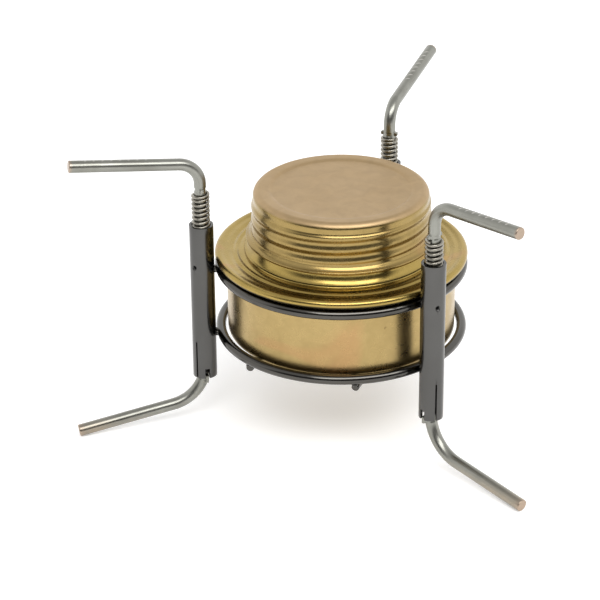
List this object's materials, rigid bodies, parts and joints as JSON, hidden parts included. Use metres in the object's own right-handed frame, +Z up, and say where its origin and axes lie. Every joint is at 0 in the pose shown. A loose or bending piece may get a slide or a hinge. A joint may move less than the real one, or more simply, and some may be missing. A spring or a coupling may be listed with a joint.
{
  "type": "spirit burner with folding pot stand",
  "caption": "Screw-capped brass spirit burner hanging in a two-ring stand with sprung, fold-in rods that serve as legs and pot arms.",
  "frame": {"origin": "on the floor under the middle of the footprint; the stand's upright axis is at X -0.8 mm, Y -17.6 mm", "axes": "+Z up; +Y towards the rear tube; +X to the right, square to the rear tube's direction"},
  "size_m": [0.1388, 0.1266, 0.0902],
  "materials": {
    "black_nickel": "glossy black nickel plate",
    "grey_nickel": "satin dark grey nickel plate",
    "rod_steel": "satin nickel plate, slightly warm",
    "spring_steel": "bright drawn wire",
    "brass": "lacquered, part matt and part bright",
    "cotton": "loose felted cotton",
    "rubber": "matt"
  },
  "bodies": {
    "stand": {"upper_ring": "black_nickel", "lower_ring": "black_nickel", "cross_wire_left": "black_nickel", "cross_wire_right": "black_nickel", "tube_left": "grey_nickel", "tube_right": "grey_nickel", "tube_rear": "grey_nickel"},
    "press_left": {"spring_left": "spring_steel"},
    "press_right": {"spring_right": "spring_steel"},
    "press_rear": {"spring_rear": "spring_steel"},
    "rod_left": {"leg_left": "rod_steel"},
    "rod_right": {"leg_right": "rod_steel"},
    "rod_rear": {"leg_rear": "rod_steel"},
    "burner": {"burner_body": "brass", "burner_top": "brass", "inner_sleeve": "brass", "wick": "cotton"},
    "seal": {"cap_seal": "rubber"},
    "cap": {"screw_cap": "brass"}
  },
  "joints": [
    {"name": "leg_left_press", "type": "slide", "parent": "stand", "child": "press_left", "axis": [0, 0, -1], "range_m": [0, 0.003], "stiffness_N_per_m": 1500, "springref_m": -0.002, "deforming": ["spring_left"]},
    {"name": "leg_left_turn", "type": "hinge", "parent": "press_left", "child": "rod_left", "pos_m": [-0.03678, -0.0384, 0], "axis": [0, 0, 1], "range_deg": [-180, 0]},
    {"name": "leg_right_press", "type": "slide", "parent": "stand", "child": "press_right", "axis": [0, 0, -1], "range_m": [0, 0.003], "stiffness_N_per_m": 1500, "springref_m": -0.002, "deforming": ["spring_right"]},
    {"name": "leg_right_turn", "type": "hinge", "parent": "press_right", "child": "rod_right", "pos_m": [0.0351, -0.0384, 0], "axis": [0, 0, 1], "range_deg": [-180, 0]},
    {"name": "leg_rear_press", "type": "slide", "parent": "stand", "child": "press_rear", "axis": [0, 0, -1], "range_m": [0, 0.003], "stiffness_N_per_m": 1500, "springref_m": -0.002, "deforming": ["spring_rear"]},
    {"name": "leg_rear_turn", "type": "hinge", "parent": "press_rear", "child": "rod_rear", "pos_m": [-0.00084, 0.02385, 0], "axis": [0, 0, 1], "range_deg": [-180, 0]},
    {"name": "burner_lift", "type": "slide", "parent": "stand", "child": "burner", "axis": [0, 0, 1], "range_m": [0, 0.06]},
    {"name": "cap_lift", "type": "slide", "parent": "burner", "child": "seal", "axis": [0, 0, 1], "range_m": [0, 0.0111]},
    {"name": "cap_turn", "type": "hinge", "parent": "seal", "child": "cap", "pos_m": [-0.00084, -0.01765, 0.06], "axis": [0, 0, 1], "range_deg": [0, 1080]}
  ],
  "couplings": [
    {"joint": "cap_lift", "follows": "cap_turn", "m_per_rad": 0.00058887}
  ]
}
